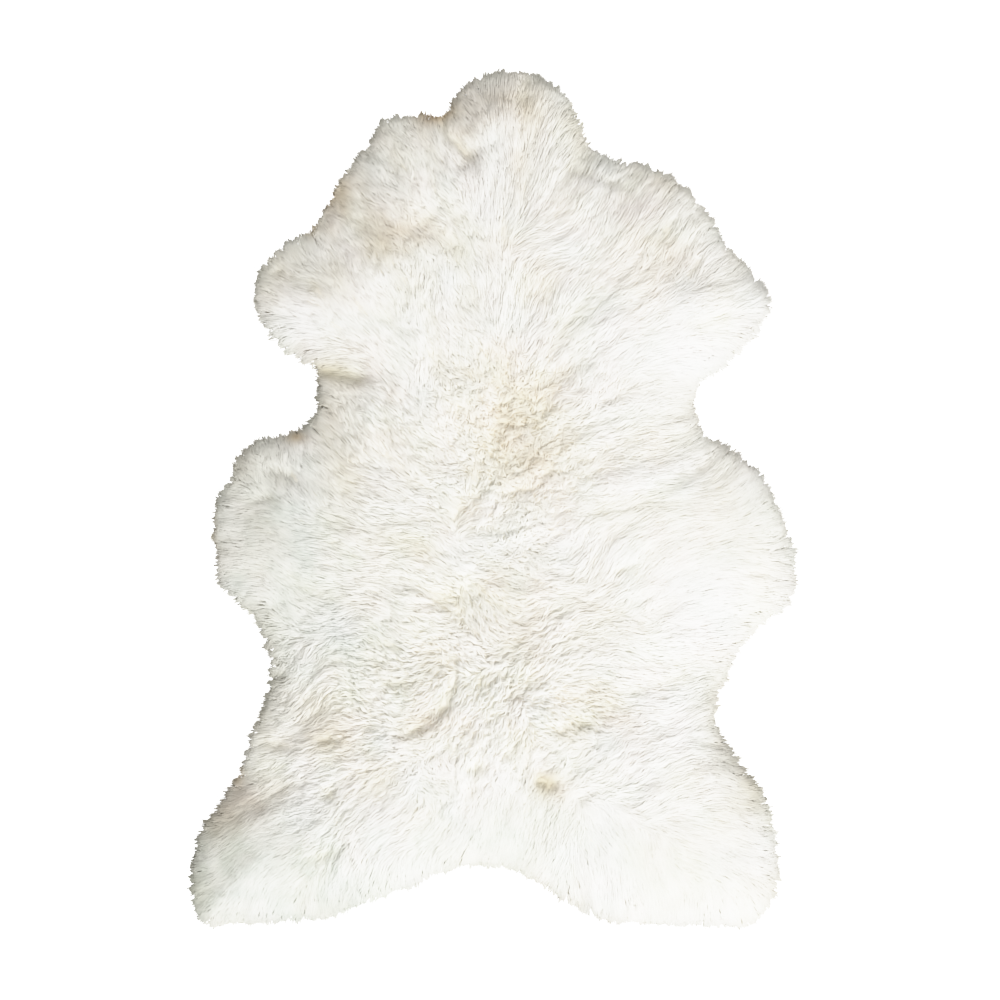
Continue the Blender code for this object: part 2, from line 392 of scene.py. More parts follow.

# Where it takes them on, painted shade and painted light among them: a place in mm, how far it spreads
# across and along, the tint and how strong it is there.
tintMarks = {
    "neck": [
        (-42, 462, 24, 24, "dustAndShade", 0.7), (98, 452, 20, 32, "dustAndShade", 0.8), (-33, 424, 20, 26, "blush", 0.7),
        (20, 458, 44, 26, "bran", 0.9), (28, 385, 10, 44, "bran", 0.5), (-66, 449, 16, 12, "tan", 1.0),
        (-74, 448, 20, 16, "mauveAndShade", 0.8), (-76, 450, 20, 14, "fawnAndShade", 1.0),
    ],
    "left shoulder": [
        (-150, 345, 50, 40, "bran", 0.4), (-258, 290, 26, 40, "dustAndShade", 0.6),
        (-192, 352, 22, 34, "dustAndShade", 0.7), (-262, 250, 20, 40, "dustAndShade", 0.4),
        (-108, 306, 46, 26, "fawnAndShade", 0.88), (-135, 290, 24, 18, "bran", 0.6),
        (-110, 396, 20, 20, "bran", 0.4), (-185, 354, 16, 34, "tan", 0.4), (-196, 354, 8, 8, "tan", 0.8),
        (-214, 316, 9, 9, "tan", 0.7), (-205, 243, 22, 16, "dustAndShade", 0.3), (-190, 265, 20, 16, "dustAndShade", 0.6),
    ],
    "right shoulder": [
        (250, 250, 40, 30, "white", 0.8), (205, 368, 50, 18, "dustAndShade", 0.7),
        (278, 302, 14, 36, "dustAndShade", 0.5), (-20, 240, 120, 36, "white", 0.9),
        (235, 170, 60, 50, "white", 0.8), (190, 298, 40, 24, "bran", 0.4), (160, 335, 30, 26, "blush", 0.5),
        (205, 262, 30, 26, "blush", 0.6), (24, 302, 20, 14, "bran", 0.3), (66, 261, 30, 22, "blush", 0.4),
    ],
    "left waist and flank": [
        (-290, -20, 50, 80, "greyShade", 0.55), (-200, 95, 34, 40, "greyShade", 0.6), (-160, 30, 60, 50, "cream", 0.5),
        (-205, 108, 22, 30, "dustAndShade", 0.8), (-300, 42, 34, 24, "dustAndShade", 0.7),
        (-310, -130, 30, 30, "dustAndShade", 0.6), (-232, 72, 12, 7, "tan", 0.6), (-328, -40, 6, 44, "tan", 0.3),
        (-249, -59, 75, 95, "coolAndShade", 0.9), (-165, 141, 34, 18, "mauveAndShade", 0.5),
        (-198, 148, 18, 14, "fawnAndShade", 1.0), (-230, -5, 40, 40, "coolAndShade", 0.5), (-120, 120, 24, 16, "bran", 0.4),
        (-240, 25, 24, 16, "dustAndShade", 0.6), (-120, -40, 40, 20, "dustAndShade", 0.5),
    ],
    "back": [
        (-45, -118, 26, 20, "white", 1.0), (20, 100, 90, 100, "cream", 0.5),
        (130, 10, 80, 30, "white", 0.7), (36, 66, 54, 70, "bran", 0.6), (35, 75, 70, 90, "cream", 0.5),
        (55, 45, 20, 24, "bran", 0.4), (30, -130, 24, 60, "bran", 0.35), (8, 150, 44, 30, "bran", 0.3),
        (-80, 32, 40, 20, "dustAndShade", 0.4),
    ],
    "right flank": [
        (290, -40, 60, 110, "ivoryShade", 0.5),
    ],
    "rump": [
        (262, -235, 34, 40, "greyShade", 0.8), (272, -285, 34, 60, "greyShade", 0.9), (-270, -225, 40, 60, "greyShade", 0.6),
        (-276, -225, 24, 50, "dustAndShade", 0.9), (262, -250, 16, 30, "dustAndShade", 0.5),
        (-165, -175, 80, 60, "coolAndShade", 0.5), (125, -222, 30, 12, "bran", 0.5),
        (-190, -277, 30, 24, "bran", 1.0), (-80, -258, 34, 16, "bran", 0.5),
        (90, -265, 20, 14, "bran", 0.5), (150, -250, 30, 20, "bran", 0.4), (20, -180, 40, 24, "dustAndShade", 0.5),
    ],
    "left hind leg": [
        (-352, -425, 20, 50, "greyShade", 0.5), (-322, -392, 30, 34, "dustAndShade", 0.7),
        (-288, -352, 34, 24, "mauveAndShade", 1.0), (-312, -366, 30, 26, "mauveAndShade", 1.0),
        (-300, -322, 10, 14, "tan", 0.5), (-190, -458, 90, 46, "coolAndShade", 0.8),
        (-260, -432, 100, 70, "coolAndShade", 1.0), (-335, -435, 40, 60, "coolAndShade", 0.9),
        (-348, -445, 24, 50, "dustAndShade", 0.5),
    ],
    "hind edge": [
        (66, -331, 16, 14, "fawnAndShade", 0.4), (-4, -396, 110, 50, "coolAndShade", 0.85), (64, -330, 22, 18, "fawnAndShade", 1.0),
    ],
    "right hind leg": [
        (300, -320, 30, 40, "greyShade", 0.9), (318, -340, 30, 40, "greyShade", 0.8), (304, -325, 24, 40, "dustAndShade", 0.8),
        (200, -446, 100, 50, "coolAndShade", 0.3), (230, -430, 110, 60, "ivoryShade", 1.0),
    ],
}


tiny = 1e-6  # keeps a division away from zero


def everyMark(regions):
    return [mark for marks in regions.values() for mark in marks]


def topAt(tree, x, y, rayFrom=1.0):
    spot = tree.ray_cast(Vector((x, y, rayFrom)), Vector((0, 0, -1)))[0]
    return None if spot is None else spot.z


def rimBetween(tree, inside, outside, halvings=6):
    for _ in range(halvings):
        middle = (inside + outside) / 2
        if topAt(tree, middle.x, middle.y) is None:
            outside = middle
        else:
            inside = middle
    return (inside + outside) / 2


def softened(grid, passes):
    # Each grid point is evened out with its four neighbours.
    for _ in range(passes):
        wide = np.pad(grid, 1, mode="edge")
        grid = (wide[:-2, 1:-1] + wide[2:, 1:-1] + wide[1:-1, :-2] + wide[1:-1, 2:] + 2 * grid) / 6
    return grid


def ease(share):
    share = np.clip(share, 0, 1)
    return share * share * (3 - 2 * share)


def blend(low, high, share):
    return low * (1 - share) + high * share


def upFrom(least, share):
    # The least value at a share of 0, and 1 at a share of 1.
    return least + (1 - least) * share


def byKind(values, wavy, curl):
    # A value for combed wool, one for wavy and one for curly, mixed as this place asks.
    combedValue, wavyValue, curlyValue = values
    mixed = blend(combedValue, wavyValue, np.clip(wavy, 0, 1))
    return blend(mixed, curlyValue, np.clip(curl, 0, 1))


def unit(vectors, least=1e-9):
    return vectors / (np.linalg.norm(vectors, axis=-1, keepdims=True) + least)


def measurePelt(settings):
    step = settings["step"]
    border = settings["border"]
    mesh = pelt.data
    tree = BVHTree.FromPolygons([v.co for v in mesh.vertices], [p.vertices for p in mesh.polygons])
    xs = np.arange(cadLow.x - border, cadHigh.x + border, step)
    ys = np.arange(cadLow.y - border, cadHigh.y + border, step)
    top = np.full((len(ys), len(xs)), np.nan)
    for row, y in enumerate(ys):
        for column, x in enumerate(xs):
            height = topAt(tree, x, y)
            if height is not None:
                top[row, column] = height
    inside = ~np.isnan(top)
    rimPoints = []
    for downRow, downColumn in ((0, 1), (1, 0)):
        here = inside[: len(ys) - downRow, : len(xs) - downColumn]
        there = inside[downRow:, downColumn:]
        for row, column in zip(*np.nonzero(here != there)):
            first = Vector((xs[column], ys[row]))
            second = Vector((xs[column + downColumn], ys[row + downRow]))
            if not inside[row, column]:
                first, second = second, first
            rimPoints.append(rimBetween(tree, first, second))
    finder = KDTree(len(rimPoints))
    for index, spot in enumerate(rimPoints):
        finder.insert((spot.x, spot.y, 0), index)
    finder.balance()
    distance = np.array([[finder.find((x, y, 0))[2] for x in xs] for y in ys])
    inward = np.where(inside, distance, -distance)
    slopeY, slopeX = np.gradient(softened(inward, passes=4), step)
    slope = np.hypot(slopeX, slopeY) + tiny
    outside = np.maximum(settings["lowest"], settings["brow"] + inward * settings["overhang"])
    bare = softened(np.where(inside, top, settings["rimHeight"]), passes=1)
    crest = blend(settings["crest"], bare, ease(inward / settings["crestReach"]))
    fall = np.exp(-np.maximum(inward, 0) / settings["fallReach"])
    crest -= (settings["crest"] - settings["brow"]) * fall
    top = softened(np.where(inside, crest, outside), passes=2)
    return {
        "bare": bare,
        "x": xs, "y": ys, "step": step, "inward": inward, "top": top,
        "outX": -slopeX / slope, "outY": -slopeY / slope,
    }


def markedField(x, y, marks, base=0.0, strongest=True):
    field = np.full_like(x, base)
    for markX, markY, spread, amount in marks:
        near = amount * np.exp(-((x - markX * mm) ** 2 + (y - markY * mm) ** 2) / (spread * mm) ** 2)
        field = np.maximum(field, near) if strongest else field + near
    return field


def creaseDepth(x, y):
    depth = np.zeros_like(x)
    for markX, markY, heading, halfLength, halfWidth, deep in everyMark(creases):
        turn = math.radians(heading)
        offX = x - markX * mm
        offY = y - markY * mm
        lengthwise = (offX * math.cos(turn) + offY * math.sin(turn)) / (halfLength * mm)
        sideways = (offY * math.cos(turn) - offX * math.sin(turn)) / (halfWidth * mm)
        depth += deep * mm * np.exp(-(lengthwise**4) - sideways**2)
    return depth


def combPelt(lie, settings):
    x, y = np.meshgrid(lie["x"], lie["y"])
    pullX = np.zeros_like(x)
    pullY = np.zeros_like(x)
    for markX, markY, heading in everyMark(combMarks):
        apart = (x - markX * mm) ** 2 + (y - markY * mm) ** 2
        weight = 1 / (apart + settings["markSoftness"] ** 2) ** settings["markPower"]
        pullX += weight * math.cos(math.radians(heading))
        pullY += weight * math.sin(math.radians(heading))
    size = np.hypot(pullX, pullY)
    nearRim = settings["combShare"] * ease(1 - lie["inward"] / settings["combReach"])
    lie["combX"] = blend(pullX / size, lie["outX"], nearRim)
    lie["combY"] = blend(pullY / size, lie["outY"], nearRim)
    lie["curl"] = markedField(x, y, curlMarks)
    lie["wavy"] = markedField(x, y, wavyMarks) * (1 - settings["curlOverWave"] * lie["curl"])
    lie["rugged"] = np.maximum(lie["curl"], lie["wavy"])
    lie["sleek"] = markedField(x, y, sleekMarks)
    lie["length"] = markedField(x, y, lengthMarks, base=1.0, strongest=False)
    slopeY, slopeX = np.gradient(softened(lie["top"], passes=3), lie["step"])
    gentle = np.minimum(1, settings["gentlest"] / (np.hypot(slopeX, slopeY) + tiny))
    well = ease(lie["inward"] / settings["evenEdge"])
    relief = -creaseDepth(x, y)
    tufted = 1 - settings["sleekFlat"] * lie["sleek"]
    for cell, reach, rise, seed in settings["ripples"]:
        relief += combedNoise(x, y, cell, reach, seed) * rise * tufted
    parting = combedNoise(x, y, *settings["partingNoise"])
    parting = np.exp(-((parting / settings["partingWidth"]) ** 2)) * lie["rugged"]
    relief -= parting * settings["partingDepth"]
    relief *= well
    lie["hollow"] = np.clip(-softened(relief, passes=1) / settings["hollowDepth"], 0, 1)
    lie["top"] += relief
    reliefY, reliefX = np.gradient(softened(relief, passes=2), lie["step"])
    lie["slopeX"] = slopeX * gentle + reliefX * settings["reliefShade"]
    lie["slopeY"] = slopeY * gentle + reliefY * settings["reliefShade"]


def combedNoise(x, y, cell, reach, seed, steps=8):
    # A noise that is drawn out along the combing, as tufts are, and evened to a spread of 1.
    total = softNoise(x, y, cell, seed)
    for way in (-1, 1):
        hereX, hereY = x, y
        for _ in range(steps):
            combX = read(lie, "combX", hereX, hereY)
            combY = read(lie, "combY", hereX, hereY)
            size = np.hypot(combX, combY) + tiny
            hereX = hereX + way * combX / size * reach / steps
            hereY = hereY + way * combY / size * reach / steps
            total = total + softNoise(hereX, hereY, cell, seed)
    return total / total.std()


lastCell = 1.001  # from a grid's end, just inside its last cell


def between(grid, row, column, along, across):
    # The value between four grid points.
    near = blend(grid[row, column], grid[row, column + 1], across)
    far = blend(grid[row + 1, column], grid[row + 1, column + 1], across)
    return blend(near, far, along)


def read(lie, name, x, y):
    across = np.clip((x - lie["x"][0]) / lie["step"], 0, len(lie["x"]) - lastCell)
    along = np.clip((y - lie["y"][0]) / lie["step"], 0, len(lie["y"]) - lastCell)
    column = across.astype(int)
    row = along.astype(int)
    return between(lie[name], row, column, along - row, across - column)


def softNoise(x, y, cell, seed, cells=256, border=20):
    lattice = np.random.default_rng(seed).uniform(-1, 1, (cells + 1, cells + 1))
    across = (x - cadLow.x) / cell + border
    along = (y - cadLow.y) / cell + border
    column = np.floor(across).astype(int) % cells
    row = np.floor(along).astype(int) % cells
    return between(lattice, row, column, ease(along - np.floor(along)), ease(across - np.floor(across)))


tintSettings = {
    "wander": 0.35,         # how much the marks' strength varies from place to place
    "wanderCell": 14 * mm,
    "wanderSeed": 61,
    "rimReach": 11 * mm,    # how far in from the rim the painted shade that greys the wool reaches
    # how the colour drifts: over what distance, a seed, and how far each of red, green and blue goes
    "drifts": [(44 * mm, 71, (0.006, 0.0, -0.022)), (27 * mm, 72, (0.010, -0.006, -0.002))],
}


def tintAt(x, y, settings=tintSettings):
    wander = 1 + settings["wander"] * softNoise(x, y, settings["wanderCell"], settings["wanderSeed"])
    colour = np.ones((*x.shape, 3))
    for cell, seed, drift in settings["drifts"]:
        colour += softNoise(x, y, cell, seed)[..., None] * np.array(drift)
    for markX, markY, across, along, name, amount in everyMark(tintMarks):
        apart = ((x - markX * mm) / (across * mm)) ** 2 + ((y - markY * mm) / (along * mm)) ** 2
        share = np.clip(amount * wander * np.exp(-apart), 0, 1)[..., None]
        colour *= blend(1, np.array(tints[name]), share)
    # Painted shade in the hollows, as deep as the relief there.
    hollow = read(lie, "hollow", x, y)[..., None]
    colour *= blend(1, np.array(tints["hollowShade"]), hollow)
    # Painted shade, greying the wool towards the rim.
    edge = np.exp(-np.maximum(read(lie, "inward", x, y), 0) / settings["rimReach"])
    return colour * blend(1, np.array(tints["rim"]), edge[..., None])


lie = measurePelt(lieSettings)
combPelt(lie, lieSettings)
print("pelt measured and combed:", lie["top"].shape, "grid points")

woolSettings = {
    "tip": (0.962, 0.957, 0.925, 1),
    # yellower at the root, as wool is, and a little darker there: painted shade deep in the pile
    "root": (0.925, 0.885, 0.79, 1),
    "rootShade": (0.0, 0.75),     # tip shares between which the root's colour fades out
    "roughness": 0.9,
    "specular": 0.2,
    "fibres": 1.6,                # fibres a millimetre across a strand
    "fibreDetail": 2.0,
    "fibreRoughness": 0.6,
    "fibreBump": 0.35,
    "fibreDepth": 0.15 * mm,
    "fibreShade": 0.06,
}

hideSettings = {
    "colour": (0.70, 0.53, 0.36, 1),
    "pale": (0.80, 0.67, 0.51, 1),
    "roughness": 0.88,
    "specular": 0.25,
    "blotches": 14.0,             # blotches a metre
    "blotchDetail": 5.0,
    "nap": 420.0,                 # bunches of hair in the nap, a metre
    "napDetail": 3.0,
    "bump": 0.5,
    "bumpDepth": 0.3 * mm,
    "inset": 13 * mm,             # how far in from the wool's tips its edge lies
    "wander": 2 * mm,             # how much that varies, over the next distance
    "wanderCell": 25 * mm,
    "wanderSeed": 31,
    "reach": 46 * mm,             # over which the pelt's solid is drawn in for it
    "under": 0.3 * mm,            # its underside lies this far above the floor
    "thick": 2.0 * mm,
    "fullFrom": 16 * mm,          # height of the pelt's solid from which the hide is whole
    "facesDown": -0.7,            # a face whose normal is lower than this is of the underside
}


def newGroup(name, inputs, outputs):
    group = bpy.data.node_groups.new(name, "ShaderNodeTree")
    for socket, kind, value in inputs:
        made = group.interface.new_socket(socket, in_out="INPUT", socket_type=kind)
        made.default_value = value
    for socket, kind in outputs:
        group.interface.new_socket(socket, in_out="OUTPUT", socket_type=kind)
    start = group.nodes.new("NodeGroupInput")
    end = group.nodes.new("NodeGroupOutput")
    return group, start, end


def fibreGroup(settings):
    # Fine fibres along a strand: a noise that is short across the strand and long along it.
    group, start, end = newGroup(
        "fibres",
        [
            ("Place", "NodeSocketVector", (0, 0, 0)),
            ("Fibres", "NodeSocketFloat", settings["fibres"]),
            ("Shade", "NodeSocketFloat", settings["fibreShade"]),
        ],
        [("Height", "NodeSocketFloat"), ("Shading", "NodeSocketFloat")],
    )
    scale = addNode(group, "VectorMath", operation="SCALE")
    detail, roughness = settings["fibreDetail"], settings["fibreRoughness"]
    noise = addNode(group, "TexNoise", {"Scale": 1.0, "Detail": detail, "Roughness": roughness})
    darker = addNode(group, "Math", operation="MULTIPLY")
    shading = addNode(group, "Math", {0: 1.0}, operation="SUBTRACT")
    group.links.new(start.outputs["Place"], scale.inputs[0])
    group.links.new(start.outputs["Fibres"], scale.inputs["Scale"])
    group.links.new(scale.outputs["Vector"], noise.inputs["Vector"])
    group.links.new(noise.outputs["Fac"], darker.inputs[0])
    group.links.new(start.outputs["Shade"], darker.inputs[1])
    group.links.new(darker.outputs["Value"], shading.inputs[1])
    group.links.new(noise.outputs["Fac"], end.inputs["Height"])
    group.links.new(shading.outputs["Value"], end.inputs["Shading"])
    return group


def woolColourGroup(settings):
    # From the yellower root to the tip, in the tint that this part of the pelt has, painted shade and light
    # included.
    group, start, end = newGroup(
        "woolColour",
        [
            ("Root", "NodeSocketColor", settings["root"]),
            ("Tip", "NodeSocketColor", settings["tip"]),
            ("Tip Share", "NodeSocketFloat", 1.0),
            ("Tint", "NodeSocketColor", (1, 1, 1, 1)),
            ("Shading", "NodeSocketFloat", 1.0),
        ],
        [("Colour", "NodeSocketColor")],
    )
    low, high = settings["rootShade"]
    rising = addNode(group, "MapRange", {"From Min": low, "From Max": high}, interpolation_type="SMOOTHSTEP")
    mix = addNode(group, "Mix", data_type="RGBA")
    tinted = addNode(group, "Mix", {"Factor": 1.0}, data_type="RGBA", blend_type="MULTIPLY")
    shaded = addNode(group, "VectorMath", operation="SCALE")
    group.links.new(start.outputs["Tip Share"], rising.inputs["Value"])
    group.links.new(rising.outputs["Result"], mix.inputs["Factor"])
    group.links.new(start.outputs["Root"], mix.inputs[mixFirst])
    group.links.new(start.outputs["Tip"], mix.inputs[mixSecond])
    group.links.new(mix.outputs[mixResult], tinted.inputs[mixFirst])
    group.links.new(start.outputs["Tint"], tinted.inputs[mixSecond])
    group.links.new(tinted.outputs[mixResult], shaded.inputs[0])
    group.links.new(start.outputs["Shading"], shaded.inputs["Scale"])
    group.links.new(shaded.outputs["Vector"], end.inputs["Colour"])
    return group


def woolMaterial(name, settings, fibres, woolColour):
    wool, tree, shader = newMaterial(name, settings["roughness"], settings["specular"])
    fibre = addNode(
        tree, "Group", {"Fibres": settings["fibres"], "Shade": settings["fibreShade"]}, node_tree=fibres
    )
    colour = addNode(tree, "Group", {"Root": settings["root"], "Tip": settings["tip"]}, node_tree=woolColour)
    bump = addNode(tree, "Bump", {"Strength": settings["fibreBump"], "Distance": settings["fibreDepth"]})
    place = addNode(tree, "Attribute", attribute_name="strandPlace")
    tipShare = addNode(tree, "Attribute", attribute_name="tipShare")
    tint = addNode(tree, "Attribute", attribute_name="woolTint")
    tree.links.new(place.outputs["Vector"], fibre.inputs["Place"])
    tree.links.new(tipShare.outputs["Fac"], colour.inputs["Tip Share"])
    tree.links.new(tint.outputs["Color"], colour.inputs["Tint"])
    tree.links.new(fibre.outputs["Shading"], colour.inputs["Shading"])
    tree.links.new(colour.outputs["Colour"], shader.inputs["Base Color"])
    tree.links.new(fibre.outputs["Height"], bump.inputs["Height"])
    tree.links.new(bump.outputs["Normal"], shader.inputs["Normal"])
    return wool


def hideMaterial(settings):
    # Suede: pale and tan in soft blotches, with a fine nap.
    leather, tree, shader = newMaterial("hideLeather", settings["roughness"], settings["specular"])
    place = addNode(tree, "TexCoord")
    blotch = addNode(tree, "TexNoise", {"Scale": settings["blotches"], "Detail": settings["blotchDetail"]})
    nap = addNode(tree, "TexNoise", {"Scale": settings["nap"], "Detail": settings["napDetail"]})
    mix = addNode(
        tree, "Mix", {mixFirst: settings["colour"], mixSecond: settings["pale"]}, data_type="RGBA"
    )
    bump = addNode(tree, "Bump", {"Strength": settings["bump"], "Distance": settings["bumpDepth"]})
    tree.links.new(place.outputs["Object"], blotch.inputs["Vector"])
    tree.links.new(place.outputs["Object"], nap.inputs["Vector"])
    tree.links.new(blotch.outputs["Fac"], mix.inputs["Factor"])
    tree.links.new(mix.outputs[mixResult], shader.inputs["Base Color"])
    tree.links.new(nap.outputs["Fac"], bump.inputs["Height"])
    tree.links.new(bump.outputs["Normal"], shader.inputs["Normal"])
    return leather


fibres = fibreGroup(woolSettings)
woolColour = woolColourGroup(woolSettings)
woolStrands = woolMaterial("woolStrands", woolSettings, fibres, woolColour)
underWool = woolMaterial("underWool", woolSettings, fibres, woolColour)
hideLeather = hideMaterial(hideSettings)
print("materials are made")


def addAttribute(mesh, name, kind, values):
    made = mesh.attributes.new(name, kind, "POINT")
    field = {"FLOAT": "value", "FLOAT_VECTOR": "vector", "FLOAT_COLOR": "color"}[kind]
    made.data.foreach_set(field, np.ascontiguousarray(values, dtype=np.float32).ravel())


def addWoolMarks(mesh, places, tipShare, strandPlace, ownTint=1.0):
    tint = np.ones((len(places), 4))
    tint[:, :3] = tintAt(places[:, 0], places[:, 1]) * ownTint
    addAttribute(mesh, "tipShare", "FLOAT", tipShare)
    addAttribute(mesh, "strandPlace", "FLOAT_VECTOR", strandPlace)
    addAttribute(mesh, "woolTint", "FLOAT_COLOR", tint)


def asPiece(name, mesh):
    piece = bpy.data.objects.new(name, mesh)
    scene.collection.objects.link(piece)
    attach(piece, "root")
    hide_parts("pelt")
    return piece


def drawnIn(name, inset, reach, heightOf, weld=0.02 * mm):
    # A copy of the pelt's own solid, drawn in from the rim and with other heights.
    shape = bmesh.new()
    shape.from_mesh(pelt.data)
    bmesh.ops.remove_doubles(shape, verts=shape.verts, dist=weld)
    bmesh.ops.subdivide_edges(shape, edges=shape.edges, cuts=1, use_grid_fill=True)
    places = np.array([vertex.co for vertex in shape.verts])
    x, y, z = places.T
    shift = inset(x, y) * np.clip(1 - read(lie, "inward", x, y) / reach, 0, 1)
    newX = x - read(lie, "outX", x, y) * shift
    newY = y - read(lie, "outY", x, y) * shift
    newZ = heightOf(x, y, z)
    for vertex, spot in zip(shape.verts, zip(newX, newY, newZ)):
        vertex.co = spot
    bmesh.ops.recalc_face_normals(shape, faces=shape.faces)
    mesh = bpy.data.meshes.new(name)
    shape.to_mesh(mesh)
    shape.free()
    mesh.shade_smooth()
    return mesh, np.stack([newX, newY, newZ], 1)


underWoolSettings = {
    "inset": 9 * mm,
    "reach": 40 * mm,
    "floorGap": 2.6 * mm,
    "below": (2.2 * mm, 4.6 * mm, 2.8 * mm),  # under the strands' tops: combed, wavy, curly
    "lumps": [(9 * mm, 3, 0.7 * mm), (5 * mm, 4, 0.5 * mm)],  # how wide, a seed, how high
    "sleekCloser": 0.5,       # how much nearer to the strands it comes where they lie sleek
    "fullFrom": 16 * mm,
    "tipShare": 0.35,         # its colour, from the root's at 0 to the tip's at 1
}


def buildUnderWool(settings):
    def heightOf(x, y, z):
        below = byKind(settings["below"], read(lie, "wavy", x, y), read(lie, "curl", x, y))
        below -= sum(softNoise(x, y, wide, seed) * high for wide, seed, high in settings["lumps"])
        below *= 1 - settings["sleekCloser"] * read(lie, "sleek", x, y)
        upper = np.clip(z / settings["fullFrom"], 0, 1)
        fuller = read(lie, "top", x, y) - read(lie, "bare", x, y)
        return z + (fuller - below) * upper + settings["floorGap"] * (1 - upper)

    mesh, places = drawnIn("underWool", lambda x, y: settings["inset"], settings["reach"], heightOf)
    addWoolMarks(mesh, places, np.full(len(places), settings["tipShare"]), places / mm)
    mesh.materials.append(underWool)
    print("under wool:", sum(len(p.vertices) - 2 for p in mesh.polygons), "triangles")
    return asPiece("underWool", mesh)


# Where the hide shows beyond the wool: a place in mm, its spread, and how far out it reaches there.
hideShows = [(-66, 449, 14, 11), (-196, 354, 7, 13), (-213, 316, 8, 13), (-231, 73, 14, 13)]


def buildHide(settings):
    def inset(x, y):
        shows = np.zeros_like(x)
        for markX, markY, spread, out in hideShows:
            apart = ((x - markX * mm) ** 2 + (y - markY * mm) ** 2) / (spread * mm) ** 2
            shows = np.maximum(shows, out * mm * np.exp(-apart))
        wander = softNoise(x, y, settings["wanderCell"], settings["wanderSeed"])
        return settings["inset"] + settings["wander"] * wander - shows

    def heightOf(x, y, z):
        return settings["under"] + settings["thick"] * np.clip(z / settings["fullFrom"], 0, 1)

    mesh, places = drawnIn("hide", inset, settings["reach"], heightOf)
    mesh.materials.append(hideLeather)
    underside = [p for p in mesh.polygons if p.normal.z < settings["facesDown"]]
    print("hide:", sum(len(p.vertices) - 2 for p in mesh.polygons), "triangles")
    return asPiece("hide", mesh), sum(p.area for p in underside)


woolBody = buildUnderWool(underWoolSettings)
hide, hideArea = buildHide(hideSettings)

lockSettings = {
    "spacing": 9.0 * mm,
    "curlySpacing": 7.0 * mm,
    "curlyFrom": 0.45,
    "jitter": 0.42,          # of the spacing
    "inset": 2 * mm,
    "length": 26 * mm,
    "lengthSpread": 0.22,
    "mostSpread": 0.4,
    "steps": 16,
    "overrun": 1.15,         # how much further a lock's line runs than its strands do
    "turn": 7.0,             # degrees, one lock from the next
    "drift": 15.0,           # degrees, over groups of locks
    "driftCell": 38 * mm,
    "curlTurn": 50.0,        # degrees, how far a curly lock may turn off the combing
    "curlPower": 1.5,        # above 1, wool that curls only a little turns less than its share
    "hook": 130.0,           # degrees that a curly lock's tip coils further
    "sleekCalm": 0.8,        # how far sleek locks lose what sets one off from the next
    # three values each: in combed wool, in wavy wool and in curly wool
    "wave": (8.0, 42.0, 50.0),  # degrees
    "waveLength": (17 * mm, 11 * mm, 10 * mm),
    "level": (0.38 * mm, 1.0 * mm, 0.36 * mm),  # how much higher or lower one lock is than the next
    "bulge": (1.2 * mm, 1.9 * mm, 0.6 * mm),    # how much higher its middle is than its sides
    "moreGather": (0.0, 0.35, 0.25),
    "lean": (8.0, 24.0, 8.0),  # degrees that a lock's outer strands lean away from its middle
    # between which values single locks lie, as shares of the values above
    "waves": (0.6, 1.3),
    "waveLengths": (0.85, 1.2),
    "levels": (-2, 2),
    # over what distance locks wave together, and how far combed ones are off that, in radians
    "phaseCell": 16 * mm,
    "phaseSpread": 0.5,
    # how far a lock's strands draw together at its tip, where 1 is to a point
    "gather": (0.12, 0.45),
    "rimGather": 0.28,
    "rimReach": 30 * mm,
    "mostGather": 0.85,
    # how far a lock at the rim reaches beyond it
    "reach": (-3.0 * mm, 1.5 * mm),
    "reachDrift": 4.6 * mm,
    "reachCell": 15 * mm,
}

strandSettings = {
    "spacing": 2.6 * mm,
    "jitter": 0.45,                # of the spacing
    "inset": 3 * mm,
    "width": (1.2 * mm, 1.5 * mm),  # combed and curly
    "widths": (0.7, 1.3),
    "turn": 4.0,                   # degrees, one strand from the next
    "curlyTurn": 2,                # how many times more a curly strand turns
    "stretch": (0.72, 1.08),
    "stray": 1.3 * mm,
    "combedStray": 0.5,            # the share of it that combed strands have
    "gatherPower": 1.3,            # above 1, a lock draws together late
    "sleekCalm": 0.85,             # how far sleek strands lose what sets one off from the next
    # how strands that would reach too far beyond the rim are shortened: how often, and to no less
    # than which share each time
    "trims": 3,
    "shortest": 0.15,
    "leastRun": 0.1 * mm,
    "ownReach": 1.2 * mm,
    "tuftPoint": 2 * mm,           # at the rim, how much shorter the outer strands of a tuft are
    # in combed, wavy and curly wool
    "lift": (0.2 * mm, 0.3 * mm, 0.2 * mm),
    "rootDepth": (2.3 * mm, 4.8 * mm, 2.9 * mm),
    "rootShare": (0.6, 0.15, 0.4),  # how far towards the tip's colour a root is already
    "fullLift": 40 * mm,           # height of the wool from which strands lift as far as they may
    "sleekDepth": 0.3,             # the least share of the roots' depth that sleek wool keeps
    "deepest": 0.5,                # of the wool's height, how deep a root may lie
    "rise": 1.7,                   # above 1, a strand rises fast at its root and then levels out
    "tipDrop": 1.0 * mm,
    "dropPower": 3,                # the higher, the nearer to its tip a strand drops
    "lowest": 1.0 * mm,
    "upturned": 0.6,               # how far the lowest strands' shading faces up, not out
    "steepest": 0.85,              # of the slopes that show in the strands' shading
    "roll": 3.4,                   # degrees
    "roundness": (7.2, 9.5),       # degrees that the light sees a strand's sides lean
    "sleekRound": 0.25,            # the least share of that which sleek strands keep
    "shades": 0.03,                # how much darker some strands are than others
    "fibreStretch": 0.12,          # how slowly the fibres' noise runs along a strand
    "fibreApart": 400,             # over what length of noise the strands are spread
    "combedWays": (0, 0.36, 0.62, 0.84, 1),
    "curlyWays": (0, 0.24, 0.42, 0.57, 0.7, 0.81, 0.91, 1),
    "curlyFrom": 0.42,
}

# How wide a strand is along its length, from root to tip.
strandProfile = [(0, 0.6), (0.35, 1.0), (0.75, 0.8), (0.92, 0.45), (1, 0.0)]

# The same for the strands down the side of the rim, which are blunter.
bluntProfile = [(0, 0.8), (0.6, 1.0), (0.95, 0.8), (1, 0.0)]

